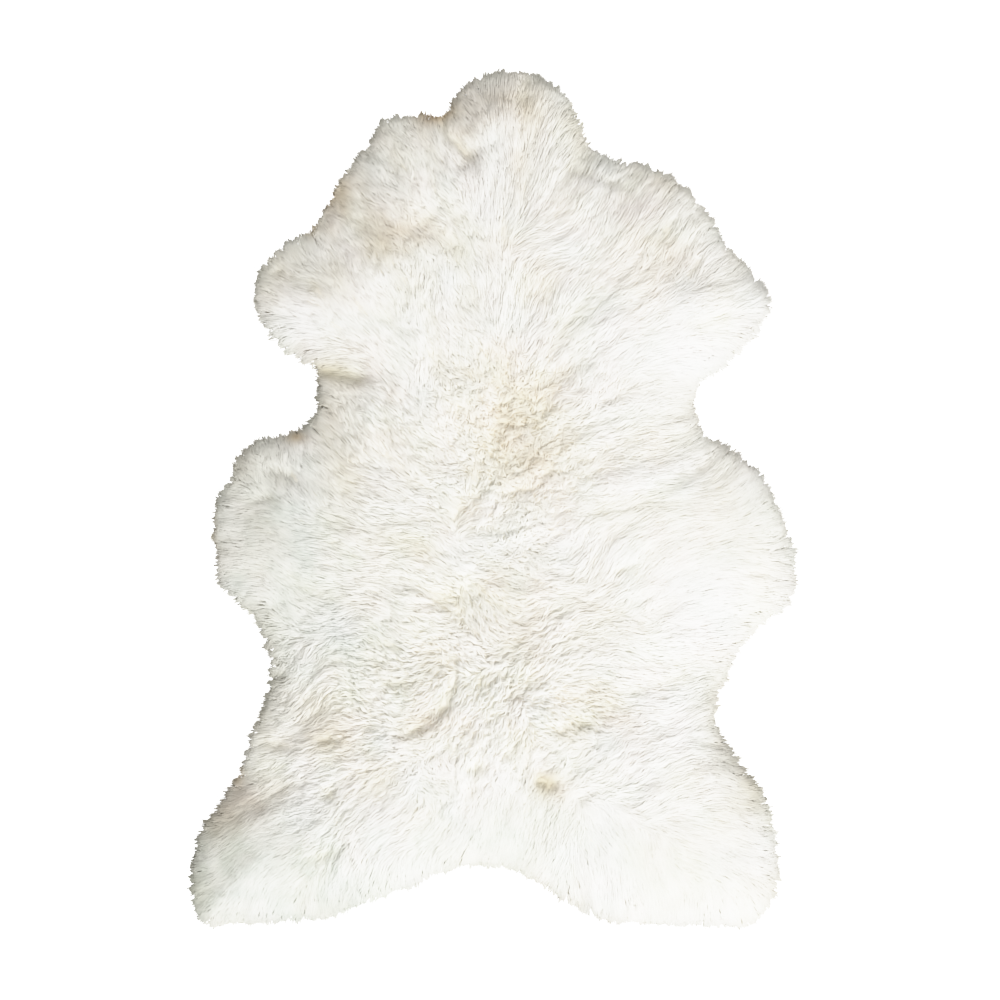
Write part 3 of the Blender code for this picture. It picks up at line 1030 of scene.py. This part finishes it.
# Strands laid over the places that the others leave bare.
fillSettings = {
    "layers": 2,
    "back": 0.45,             # these lie this far back along their locks
    "widths": (0.9, 1.4),
    "fewest": 2,              # a grid cell with fewer strands than this is bare
    "inset": 5 * mm,
    "coversFrom": 0.2,        # the share of a strand from which it covers what is below,
    "parts": (0.0, 0.33, 0.67),  # and where it is looked at, between one of its points and the next
}

# Strands down the side of the rim, with painted shade that darkens them the nearer they are to the hide.
skirtSettings = {
    "spacing": 2.5 * mm,
    "within": 24 * mm,
    "width": 1.8 * mm,
    "heights": (0.1, 0.92),   # as shares of the pile's height
    "further": 3.4 * mm,      # how much further out than the wool above them the furthest reach
    "furthestAt": 0.24,       # and the height at which they do
    "spread": 0.5,            # so much higher up, they reach no further than that wool does
    "pale": 1.22,             # painted light, as if light came through the thin wool there, above this height:
    "paleFrom": 0.5,
    "ways": (0, 0.36, 0.62, 0.95, 1),
}

# The wool is made in bands across the pelt, each from one y to another, in mm.
bands = {
    "neckWool": (250, 1000), "shoulderWool": (95, 250), "backWool": (-40, 95),
    "flankWool": (-170, -40), "rumpWool": (-310, -170), "hindWool": (-1000, -310),
}

# A seed for each thing left to chance, and one for each layer of strands in a band.
seeds = {
    "locks": 5, "combedPlaces": 6, "curlyPlaces": 8, "drift": 7, "phase": 9, "reach": 10,
    "strandPlaces": 21, "rimPlaces": 22, "rimHeights": 23,
}
layerSeeds = iter(range(100, 1000))
noTint = (1, 1, 1)


def scatter(spacing, jitter, inset, seed):
    chance = np.random.default_rng(seed)
    xs = np.arange(cadLow.x, cadHigh.x, spacing)
    ys = np.arange(cadLow.y, cadHigh.y, spacing * math.sqrt(3) / 2)
    x, y = np.meshgrid(xs, ys)
    x[1::2] += spacing / 2
    x = x + chance.uniform(-jitter, jitter, x.shape) * spacing
    y = y + chance.uniform(-jitter, jitter, x.shape) * spacing
    kept = read(lie, "inward", x, y) > inset
    return x[kept], y[kept]


def growLocks(settings):
    chance = np.random.default_rng(seeds["locks"])
    jitter, inset = settings["jitter"], settings["inset"]
    spacing, curlySpacing = settings["spacing"], settings["curlySpacing"]
    x, y = scatter(spacing, jitter, inset, seeds["combedPlaces"])
    curlyX, curlyY = scatter(curlySpacing, jitter, inset, seeds["curlyPlaces"])
    combed = read(lie, "rugged", x, y) < settings["curlyFrom"]
    curly = read(lie, "rugged", curlyX, curlyY) >= settings["curlyFrom"]
    half = np.repeat([spacing / 2, curlySpacing / 2], [combed.sum(), curly.sum()])
    x = np.concatenate([x[combed], curlyX[curly]])
    y = np.concatenate([y[combed], curlyY[curly]])
    count = len(x)
    curl = read(lie, "curl", x, y)
    wavy = read(lie, "wavy", x, y)
    rough = 1 - settings["sleekCalm"] * read(lie, "sleek", x, y)
    nearRim = ease(1 - read(lie, "inward", x, y) / settings["rimReach"])
    length = settings["length"] * read(lie, "length", x, y)
    most = settings["mostSpread"]
    length *= 1 + chance.normal(0, settings["lengthSpread"], count).clip(-most, most)
    turn = np.radians(settings["turn"]) * chance.normal(0, 1, count) * rough
    turn += np.radians(settings["drift"]) * softNoise(x, y, settings["driftCell"], seeds["drift"])
    turn += np.radians(settings["curlTurn"]) * curl ** settings["curlPower"] * chance.normal(0, 1, count)
    hook = np.radians(settings["hook"]) * curl * chance.normal(0, 1, count)
    wave = np.radians(byKind(settings["wave"], wavy, curl)) * chance.uniform(*settings["waves"], count)
    phase = 2 * math.pi * softNoise(x, y, settings["phaseCell"], seeds["phase"])
    phase += chance.normal(0, settings["phaseSpread"] + curl, count)
    waveLength = byKind(settings["waveLength"], wavy, curl) * chance.uniform(*settings["waveLengths"], count)
    level = byKind(settings["level"], wavy, curl) * chance.normal(0, 1, count).clip(*settings["levels"])
    gather = chance.uniform(*settings["gather"], count) * rough
    gather += byKind(settings["moreGather"], wavy, curl) + settings["rimGather"] * nearRim
    reach = chance.uniform(*settings["reach"], count)
    reach += settings["reachDrift"] * softNoise(x, y, settings["reachCell"], seeds["reach"])
    spine = np.zeros((settings["steps"] + 1, count, 2))
    spine[0] = np.stack([x, y], 1)
    stride = length * settings["overrun"] / settings["steps"]
    for index, here in enumerate(spine[:-1]):
        share = (index + 0.5) / settings["steps"]
        combX = read(lie, "combX", here[:, 0], here[:, 1])
        combY = read(lie, "combY", here[:, 0], here[:, 1])
        heading = np.arctan2(combY, combX) + turn + hook * share**2
        heading += wave * np.sin(2 * math.pi * share * length / waveLength + phase)
        spine[index + 1] = here + np.stack([np.cos(heading), np.sin(heading)], 1) * stride[:, None]
    return {
        "centre": spine[0], "spine": spine, "half": half, "level": level * rough,
        "gather": np.minimum(gather, settings["mostGather"]), "reach": reach,
    }


def lockOf(locks, x, y):
    finder = KDTree(len(locks["centre"]))
    for index, spot in enumerate(locks["centre"]):
        finder.insert((*spot, 0), index)
    finder.balance()
    return np.array([finder.find((a, b, 0))[1] for a, b in zip(x, y)], int)


def along(locks, which, share, lineEnd=0.9999):
    # Where a lock's line is at some share of its strands' length.
    steps = len(locks["spine"]) - 1
    spot = np.clip(share / lockSettings["overrun"], 0, lineEnd) * steps
    index = spot.astype(int)
    part = (spot - index)[..., None]
    return blend(locks["spine"][index, which], locks["spine"][index + 1, which], part)


def layStrands(locks, x, y, ways, settings, seed, height=1.0, further=0.0, back=0.0):
    # Each strand follows its lock's line, drawn together with the lock's others towards the tip.
    chance = np.random.default_rng(seed)
    which = lockOf(locks, x, y)
    count = len(x)
    curl = read(lie, "curl", x, y)
    wavy = read(lie, "wavy", x, y)
    rough = 1 - settings["sleekCalm"] * read(lie, "sleek", x, y)
    root = np.stack([x, y], 1)
    centre = locks["centre"][which]
    off = root - centre
    outer = np.minimum(1, np.hypot(off[:, 0], off[:, 1]) / locks["half"][which])
    stretch = chance.uniform(*settings["stretch"], count)
    stray = chance.normal(0, settings["stray"], (count, 2)) * upFrom(settings["combedStray"], curl[:, None])
    turn = np.radians(settings["turn"]) * chance.normal(0, 1, count) * (1 + settings["curlyTurn"] * curl)
    cosine, sine = np.cos(turn), np.sin(turn)
    pulledBack = along(locks, which, np.full(count, back)) - centre

    def pathAt(share, stretch):
        moved = along(locks, which, share * stretch) - centre - pulledBack
        turnedX = moved[:, 0] * cosine - moved[:, 1] * sine
        turnedY = moved[:, 0] * sine + moved[:, 1] * cosine
        gather = (locks["gather"][which] * share ** settings["gatherPower"])[:, None]
        return root + np.stack([turnedX, turnedY], 1) - off * gather + stray * (share**2)[:, None]

    ones = np.ones(count)
    inRoot = read(lie, "inward", x, y)
    reach = locks["reach"][which] + chance.normal(0, settings["ownReach"], count) + further
    reach -= settings["tuftPoint"] * outer**2
    for _ in range(settings["trims"]):
        tip = pathAt(ones, stretch)
        inTip = read(lie, "inward", tip[:, 0], tip[:, 1])
        run = np.maximum(inRoot - inTip, settings["leastRun"])
        shrink = np.clip((inRoot + reach) / run, settings["shortest"], 1)
        stretch = np.where(inTip < -reach, stretch * shrink, stretch)
    depth = byKind(settings["rootDepth"], wavy, curl) * upFrom(settings["sleekDepth"], rough)
    depth = np.minimum(depth, settings["deepest"] * read(lie, "top", x, y))
    lift = byKind(settings["lift"], wavy, curl) * chance.normal(0, 1, count) * rough
    lift += locks["level"][which]
    lift += byKind(lockSettings["bulge"], wavy, curl) * (1 - outer**2) * rough
    points = np.zeros((len(ways), count, 3))
    for index, way in enumerate(ways):
        flat = pathAt(ones * way, stretch)
        top = read(lie, "top", flat[:, 0], flat[:, 1])
        high = top - depth * (1 - way) ** settings["rise"]
        high += lift * np.clip(top / settings["fullLift"], 0, 1)
        high = (high - settings["tipDrop"] * way ** settings["dropPower"]) * height
        points[index] = np.stack([flat[:, 0], flat[:, 1], np.maximum(high, settings["lowest"])], 1)
    lean = np.radians(byKind(lockSettings["lean"], wavy, curl)) * rough
    return {
        "points": points, "ways": np.array(ways, float), "curl": curl, "chance": chance,
        "height": np.full(count, height)[None, :, None],
        "outer": off / locks["half"][which][:, None], "lean": lean,
        "round": upFrom(settings["sleekRound"], rough),
        "rootShare": 1 - (1 - byKind(settings["rootShare"], wavy, curl)) * rough,
    }


def shadeWay(strands, settings):
    # The way that the wool faces under each strand, as the light is to see it.
    points = strands["points"]
    x, y = points[..., 0], points[..., 1]
    slope = np.stack([read(lie, "slopeX", x, y), read(lie, "slopeY", x, y)], 2)
    steep = np.linalg.norm(slope, axis=2, keepdims=True)
    slope *= np.minimum(1, settings["steepest"] / (steep + tiny))
    surface = unit(np.concatenate([-slope, np.ones_like(steep)], 2))
    outward = np.stack([read(lie, "outX", x, y), read(lie, "outY", x, y), np.zeros_like(x)], 2)
    return unit(blend(outward, surface, strands["height"]))


def ribbons(strands, settings, width, tint, outline=strandProfile):
    # A strand is a narrow ribbon that faces up from the pelt, with the shading of a round one.
    points, ways, chance = strands["points"], strands["ways"], strands["chance"]
    rings, count, _ = points.shape
    tangent = unit(np.gradient(points, axis=0))
    surface = shadeWay(strands, settings)
    side = unit(np.cross(tangent, surface))
    up = np.cross(side, tangent)
    sideways = np.clip((strands["outer"][None] * side[..., :2]).sum(2), -1, 1)
    roll = np.radians(settings["roll"]) * chance.normal(0, 1, count) - strands["lean"] * sideways
    cosine, sine = np.cos(roll)[..., None], np.sin(roll)[..., None]
    side, up = side * cosine + up * sine, up * cosine - side * sine
    # Low strands are shaded as if they faced further up, as thin wool looks with light in it.
    lit = unit(blend(up, np.array([0, 0, 1.0]), settings["upturned"] * (1 - strands["height"])))
    profile = np.interp(ways, *zip(*outline))
    half = (width[None, :] * profile[:, None] / 2)[..., None]
    bend = np.radians(blend(*settings["roundness"], strands["curl"]) * strands["round"])[None, :, None]
    litAlong, litAcross = lit * np.cos(bend), side * np.sin(bend)

    def perStrand(left, right, tip):
        pairs = np.stack([left[:-1], right[:-1]], 1)  # ring, side, strand, value
        pairs = pairs.transpose(2, 0, 1, 3).reshape(count, 2 * (rings - 1), -1)
        return np.concatenate([pairs, tip[:, None, :]], 1)

    length = np.linalg.norm(np.diff(points, axis=0), axis=2).sum(0)
    lengthwise = ways[:, None] * length[None, :] / mm * settings["fibreStretch"]
    number = np.broadcast_to(chance.uniform(0, settings["fibreApart"], count)[None, :], lengthwise.shape)
    leftPlace = np.stack([-half[..., 0] / mm, lengthwise, number], 2)
    rightPlace = np.stack([half[..., 0] / mm, lengthwise, number], 2)
    way = np.append(np.repeat(ways[:-1], 2), 1.0)
    rootShare = strands["rootShare"][:, None]
    shade = 1 - settings["shades"] * chance.uniform(0, 1, count)
    last = 2 * (rings - 2)
    return {
        "points": perStrand(points - side * half, points + side * half, points[-1]),
        "normals": perStrand(litAlong - litAcross, litAlong + litAcross, lit[-1]),
        "places": perStrand(leftPlace, rightPlace, (leftPlace + rightPlace)[-1] / 2),
        "tint": shade[:, None] * np.array(tint),
        "way": way,
        "tipShare": upFrom(rootShare, way[None, :]),
        "quads": np.array([(2 * r, 2 * r + 1, 2 * r + 3, 2 * r + 2) for r in range(rings - 2)]),
        "tip": np.array([(last, last + 1, last + 2)]),
    }


# Each strand has its own rectangle on the map for baking: how many times as tall as wide it is, and
# where the strand lies in it.
mapSettings = {"tall": 3, "across": (0.12, 0.88), "middle": 0.5, "root": 0.06, "run": 0.88}


def bakeMap(mesh, groups, corners, settings=mapSettings):
    total = sum(len(group["points"]) for group in groups)
    columns = math.ceil(math.sqrt(total * settings["tall"]))
    rows = math.ceil(total / columns)
    spots = []
    start = 0
    for group in groups:
        count, per, _ = group["points"].shape
        number = start + np.arange(count)
        across = np.append(np.tile(settings["across"], (per - 1) // 2), settings["middle"])
        lengthwise = settings["root"] + settings["run"] * group["way"]
        u = ((number % columns)[:, None] + across[None, :]) / columns
        v = ((number // columns)[:, None] + lengthwise[None, :]) / rows
        spots.append(np.stack([u, v], 2).reshape(-1, 2))
        start += count
    spots = np.concatenate(spots)
    mesh.uv_layers.new(name="OFBake").data.foreach_set("uv", spots[corners].astype(np.float32).ravel())


def joined(groups, name, width):
    return np.concatenate([group[name].reshape(-1, width) for group in groups])


def joinStrands(name, groups):
    corners, sizes, tints, start = [], [], [], 0
    for group in groups:
        count, per, _ = group["points"].shape
        offsets = start + np.arange(count)[:, None, None] * per
        for faces in (group["quads"], group["tip"]):
            corners.append((faces[None] + offsets).reshape(-1))
            sizes.append(np.full(count * len(faces), faces.shape[1]))
        tints.append(np.repeat(group["tint"], per, axis=0))
        start += count * per
    places = joined(groups, "points", 3)
    corners = np.concatenate(corners)
    sizes = np.concatenate(sizes)
    mesh = bpy.data.meshes.new(name)
    mesh.vertices.add(len(places))
    mesh.vertices.foreach_set("co", places.ravel())
    mesh.loops.add(len(corners))
    mesh.loops.foreach_set("vertex_index", corners)
    mesh.polygons.add(len(sizes))
    mesh.polygons.foreach_set("loop_start", np.concatenate([[0], np.cumsum(sizes)[:-1]]))
    mesh.update(calc_edges=True)
    mesh.shade_smooth()
    bakeMap(mesh, groups, corners)
    tipShare = joined(groups, "tipShare", 1)
    addWoolMarks(mesh, places, tipShare, joined(groups, "places", 3), np.concatenate(tints))
    mesh.normals_split_custom_set_from_vertices(unit(joined(groups, "normals", 3)).tolist())
    mesh.materials.append(woolStrands)
    triangles = int((sizes - 2).sum())
    print(name, triangles, "triangles")
    return asPiece(name, mesh), triangles


def coverage(laid, settings):
    # How often the upper part of a strand passes over each grid cell.
    count = np.zeros_like(lie["top"])
    for strands in laid:
        upper = strands["points"][strands["ways"] >= settings["coversFrom"]]
        for first, second in zip(upper[:-1], upper[1:]):
            for part in settings["parts"]:
                spot = blend(first, second, part)
                column = np.rint((spot[:, 0] - lie["x"][0]) / lie["step"]).astype(int)
                row = np.rint((spot[:, 1] - lie["y"][0]) / lie["step"]).astype(int)
                np.add.at(count, (row, column), 1)
    return count


def inBand(y, band):
    low, high = bands[band]
    return (y >= low * mm) & (y < high * mm)


def strandWidth(strands, widths):
    curl = strands["curl"]
    return blend(*strandSettings["width"], curl) * strands["chance"].uniform(*widths, len(curl))


def layTop(settings):
    # The wool that shows, band by band, combed and curly apart.
    laid = []
    x, y = scatter(settings["spacing"], settings["jitter"], settings["inset"], seeds["strandPlaces"])
    curly = read(lie, "rugged", x, y) > settings["curlyFrom"]
    for band in bands:
        for kind, ways in ((~curly, "combedWays"), (curly, "curlyWays")):
            pick = kind & inBand(y, band)
            if pick.any():
                strands = layStrands(locks, x[pick], y[pick], settings[ways], settings, next(layerSeeds))
                width = strandWidth(strands, settings["widths"])
                groups[band].append(ribbons(strands, settings, width, noTint))
                laid.append(strands)
    print("strands:", len(x))
    return laid


def fillBare(laid, settings):
    # More strands where those leave the under wool bare.
    bare = (coverage(laid, settings) < settings["fewest"]) & (lie["inward"] > settings["inset"])
    rows, columns = np.nonzero(bare)
    x, y = lie["x"][columns], lie["y"][rows]
    for band in bands:
        pick = inBand(y, band)
        for _ in range(settings["layers"] if pick.any() else 0):
            strands = layStrands(
                locks, x[pick], y[pick], strandSettings["curlyWays"], strandSettings, next(layerSeeds),
                back=settings["back"],
            )
            width = strandWidth(strands, settings["widths"])
            groups[band].append(ribbons(strands, strandSettings, width, noTint))
    print("strands over bare places:", settings["layers"] * len(x))


def layRim(settings):
    # The wool down the side of the rim.
    inset = strandSettings["inset"]
    x, y = scatter(settings["spacing"], strandSettings["jitter"], inset, seeds["rimPlaces"])
    nearRim = read(lie, "inward", x, y) < settings["within"]
    x, y = x[nearRim], y[nearRim]
    height = np.random.default_rng(seeds["rimHeights"]).uniform(*settings["heights"], len(x))
    further = 1 - ((height - settings["furthestAt"]) / settings["spread"]) ** 2
    further *= settings["further"]
    # Painted shade low down the rim's side, and painted light above it.
    tint = blend(np.array(tints["shade"]), settings["pale"], ease(height[:, None] / settings["paleFrom"]))
    for band in bands:
        pick = inBand(y, band)
        strands = layStrands(
            locks, x[pick], y[pick], settings["ways"], strandSettings, next(layerSeeds),
            height=height[pick], further=further[pick],
        )
        width = settings["width"] * strands["chance"].uniform(*strandSettings["widths"], pick.sum())
        groups[band].append(ribbons(strands, strandSettings, width, tint[pick], bluntProfile))
    print("strands down the rim:", len(x))


locks = growLocks(lockSettings)
print("locks:", len(locks["centre"]))
groups = {band: [] for band in bands}
fillBare(layTop(strandSettings), fillSettings)
layRim(skirtSettings)

total = 0
for band in bands:
    piece, triangles = joinStrands(band, groups[band])
    total += triangles
print("wool triangles in all:", total)

print("hide area:", round(hideArea, 3))
